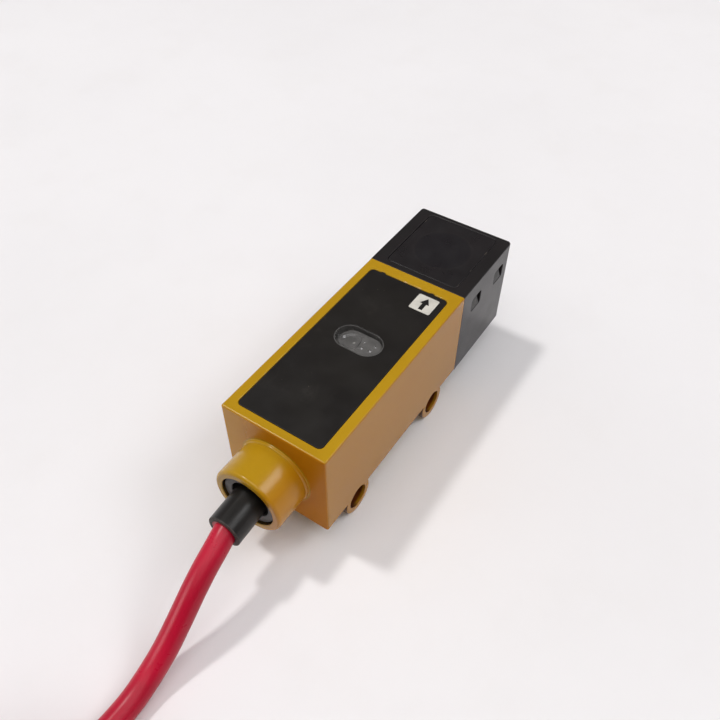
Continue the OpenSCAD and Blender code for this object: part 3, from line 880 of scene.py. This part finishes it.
add(body, *[lathe("lug_in", [(LUG_R, -8.9), (LUG_R, 8.9)], "X", (0, y, LUG_R)) for y in LUG_Y])
for s in (-1, 1):
    add(body, block("rail", *sorted((s * 7.5, s * 8.8)), Y_REAR + 1.5, 14.4, 11.5, 13.0))
add(body, slab("seat", oval_out(4.4), 20.8, 22.4))
cut(body, flared("bore", lambda d: [((5.0 - d) * math.cos(2 * math.pi * k / 96), (5.0 - d) * math.sin(2 * math.pi * k / 96) + Z_AXIS) for k in range(96)], -25.5, Y_BOSS, 0.16, to_y))
cut(body, lathe("through", [(3.2, -26), (3.2, -22)], "Y", (0, 0, Z_AXIS)))
for y in LUG_Y:
    cut(body, pin_cutter("hole", HOLE_R, -9.985, 9.985, "X", (0, y, LUG_R), 0.14))
cut(body, flared("recess", rect_out(-8.3, 8.03, Y_REAR + 1.65, Y_REAR + 40.65, 0.9), Z_REC, Z_TOP, 0.12))
for x in EARS:
    cut(body, flared("notch", lambda d, x=x: [(x + (0.9 - d) * math.cos(2 * math.pi * k / 48), Y_REAR + 40 + (0.9 - d) * math.sin(2 * math.pi * k / 48)) for k in range(48)], Z_REC, Z_TOP, 0.1))
cut(body, slab("oval_a", oval_out(3.45), 21.3, 25))
cut(body, slab("oval_b", oval_out(2.7), 19, 22))
piece(body, M["paint"], "yellow_paint", "housing")

# ------------------------------------------------------------------ head
E_TOP = 0.2
ys = [(Y_SEAM, 0.1), (Y_SEAM + 0.03, 0.05), (Y_SEAM + 0.1, 0.0)]
rings = []
for y, d in ys:
    rings.append([(u, y, v) for u, v in rrect(-HW + d, HW - d, Z_BASE + d, Z_TOP - d, E_TOP - d, 5)])
for k in range(17):
    a = math.radians(90 * k / 16)
    y = Y_END - 1 + math.sin(a)
    zi = far_in(y, 0.3, Y_END)
    rings.append([(u, y, v) for u, v in rrect(-HW + far_in(y, 0.8, Y_END), HW - far_in(y, 1.0, Y_END), Z_BASE + zi, Z_TOP - zi, E_TOP, 5)])
head = loft("head_shell", rings)
cut(head, block("hollow", -8, 8, Y_SEAM + 1.2, Y_END - 1.5, 6.1, 21.5))
spigot = block("spigot", -8.2, 8.2, 15.4, Y_SEAM + 0.5, 6.4, 21.8, 0.2)
ring_a = block("groove", -10, 10, 16.2, 17.4, 4, 24)
cut(ring_a, block("core", -7.9, 7.9, 15, 18, 6.7, 21.5))
cut(spigot, ring_a)
add(head, spigot)
for s in (-1, 1):
    add(head, block("rail", *sorted((s * 7.0, s * 8.3)), Y_SEAM + 1, Y_END - 1.3, 5.8, 8.0))
cut(head, block("way", -7, 7, 14, Y_SEAM + 1.5, 7.6, 20.6))
cut(head, flared("opening", rect_out(-7.45, 7.45, 19.7, 36.6, 1.0), 22.6, Z_TOP, 0.1))
cut(head, block("below", -7.45, 7.45, 20.7, 35.6, 20.5, 23.1))
for s in (-1, 1):
    for y in (Y_SEAM + 3.7, Y_SEAM + 12.9):
        cut(head, flared("pocket", rect_out(y, y + 3.7, 17.4, 20.5, 0.55), s * 7.2, s * HW, 0.12, to_x))
piece(head, M["case"], "black_case", "head_case")

pane = slab("window_pane", rect_out(-7.33, 7.40, 19.74, 36.56, 0.95), 22.6, 23.87, 0.05, 0.08)
hooks = []
for s in (-1, 1):
    for y in (Y_SEAM + 3.7, Y_SEAM + 12.9):
        leg = block("leg", *sorted((s * 6.35, s * 7.25)), y + 0.2, y + 2.6, 17.7, 22.8, 0.1)
        nib = block("nib", *sorted((s * 7.0, s * 9.66)), y + 0.08, y + 3.25, 17.44, 20.42, 0.06)
        for v in nib.data.vertices:
            if abs(v.co.x) > 9.3:  # the face slopes in, flush at its foot
                v.co.x -= s * (-0.27 + 0.27 * (v.co.z - 17.44))
        hooks += [add(leg, nib)]
for h in hooks:
    add(pane, h)
piece(pane, M["window"], "dark_window", "window")

# ------------------------------------------------------------------ label plate with its collar and printed arrow
plate = slab("label_plate", rect_out(-8.2, 7.93, Y_REAR + 1.75, Y_REAR + 40.55, 0.8), Z_REC, 23.85, 0.02, 0.06)
for x in EARS:
    add(plate, slab("ear", lambda d, x=x: [(x + (0.8 - d) * math.cos(2 * math.pi * k / 48), Y_REAR + 40 + (0.8 - d) * math.sin(2 * math.pi * k / 48)) for k in range(48)], Z_REC, 23.85, 0.02, 0.06))
add(plate, slab("collar", oval_out(3.4), 22.4, 23.6))
cut(plate, flared("eye", oval_out(2.775), 22.0, 23.85, 0.05))
plate.data.materials.append(M["label"])
ax0, ax1, ay0, ay1 = 2.65, 6.8, Y_REAR + 35.5, Y_REAR + 39.65
tag = slab("tag", rect_out(ax0, ax1, ay0, ay1, 0.34, 6), 23.83, 23.865)
ax, ay = 4.73, Y_REAR
arrow = [(ax - 0.4, ay + 35.98), (ax + 0.4, ay + 35.98), (ax + 0.4, ay + 37.62), (ax + 0.93, ay + 37.62), (ax, ay + 39.16), (ax - 0.93, ay + 37.62), (ax - 0.4, ay + 37.62)]
n = len(arrow)
cutter = mesh("arrow", [(x, y, 23.5) for x, y in arrow] + [(x, y, 24.2) for x, y in arrow],
              [tuple(range(n)), tuple(range(n, 2 * n))] + [(k, (k + 1) % n, n + (k + 1) % n, n + k) for k in range(n)])
cut(tag, cutter)
tag.data.materials.clear()
tag.data.materials.append(M["print"])
merge(plate, tag)
piece(plate, None, "label_black", "name_plate")

# ------------------------------------------------------------------ indicator window
lens = slab("light_window", oval_out(3.4), 21.3, 22.3, 0.1, 0.1)
rim = slab("rim", oval_out(2.75), 22.2, 23.82, 0.02, 0.05, n=3)
cut(rim, slab("rim_in", oval_out(2.6), 22.0, 24.0))
add(lens, rim)
add(lens, slab("insert", oval_out(2.4, 1.62, 0.36), 22.2, 23.2, 0.02, 0.2, n=5))
cut(lens, slab("well", oval_out(1.75, 1.55, 0.22), 21.0, 21.9, 0.02, 0.3, n=5))
cut(lens, block("slot", 1.0, 3.3, OVAL_Y - 1.9, OVAL_Y - 0.4, 21.5, 22.45, 0.25))
# a shallow dish and a few small facets left by the moulding catch the light
cut(lens, lathe("dish", [(1.35, 22.94), (1.4, 22.96), (1.82, 23.24), (1.82, 24.5)], "Z", (-1.3, OVAL_Y - 0.3, 0), 96))
for x, y, r, n in ((1.0, OVAL_Y - 0.85, 0.5, 5), (2.6, OVAL_Y - 0.65, 0.5, 4), (2.85, OVAL_Y + 0.7, 0.42, 5), (0.75, OVAL_Y + 0.6, 0.36, 4)):
    pip = lathe("pip", [(r, 23.16), (r * 0.12, 23.16 + 0.57 * r * math.cos(math.pi / n))], "Z", (0, 0, 0), n)
    pip.data.transform(Matrix.Translation((x, y, 0)) @ Matrix.Rotation(math.radians(-10) - math.pi / n, 4, "Z"))
    add(lens, pip)
add(lens, sweep("rib", [Vector((-0.1, OVAL_Y + 1.5, 23.18)), Vector((0.1, OVAL_Y, 23.19)), Vector((0.3, OVAL_Y - 1.7, 23.18))], 0.12, 6))
piece(lens, M["clear"], "clear_plastic", "indicator_window", angle=19)

# ------------------------------------------------------------------ gland
Y_RING = Y_BOSS + 0.5
bush = lathe("retaining_ring", [(4.86 - 0.12, Y_RING), (4.86, Y_RING + 0.12), (4.86, -31.0), (4.98, -30.9), (4.98, -29.02), (4.9, -29.0)], "Y", (0, 0, Z_AXIS))
cut(bush, flared("hole", lambda d: [(0.2 + (3.5 - d) * math.cos(2 * math.pi * k / 96), Z_AXIS + 0.35 + (3.5 - d) * math.sin(2 * math.pi * k / 96)) for k in range(96)], -28, Y_RING, 0.2, to_y))
piece(bush, M["bush"], "grey_plastic", "gland_bush")
tip = -37.7
sleeve = lathe("cord_sleeve", [(2.15 + 0.1, tip)] + arc(3.0 - 0.18, tip + 0.18, 0.18, 270, 360, 4) + [(3.0, -29.0), (4.75, -29.0), (4.9, -28.85), (4.9, -27.15), (4.75, -27.0), (1.97, -27.0), (1.97, -34.7), (2.15, -34.6), (2.15, tip + 0.1)],
               "Y", (0, 0, Z_AXIS), closed=True, jitter=lambda a, r, h: 0.02 * math.sin(3 * a + h) + 0.012 * math.sin(7 * a - 2 * h) if 2.9 < r < 3.1 else 0.0)
for v in sleeve.data.vertices:
    # the cord's weight makes the soft sleeve lean a little
    lean = (max(0.0, -31.5 - v.co.y) / 6.2) ** 2
    v.co.x += 0.34 * lean
    v.co.z -= 0.22 * lean
piece(sleeve, M["sleeve"], "black_rubber", "strain_relief")

# ------------------------------------------------------------------ inner pieces keep their CAD shape and get their finishes
FINISH = {
    "seal_ring": "rubber", "head_gasket": "rubber", "cable_tail": "pvc", "cable_clamp": "steel", "core_brown": "brown", "core_blue": "blue", "core_pink": "pink",
    "main_board": "board", "emitter_board": "board", "driver_ic": "epoxy", "transistor": "epoxy", "diode": "epoxy", "resistors": "epoxy",
    "capacitors": "ceramic", "indicator_led": "red_lens", "board_pins": "gold", "emitter_led": "ir", "lens_holder": "barrel", "lens": "clear",
}
for name, key in FINISH.items():
    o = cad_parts[name]
    if not o.data.materials:
        o.data.materials.append(M[key])
    for s in o.material_slots:
        s.material = M[key]

bpy.context.view_layer.update()
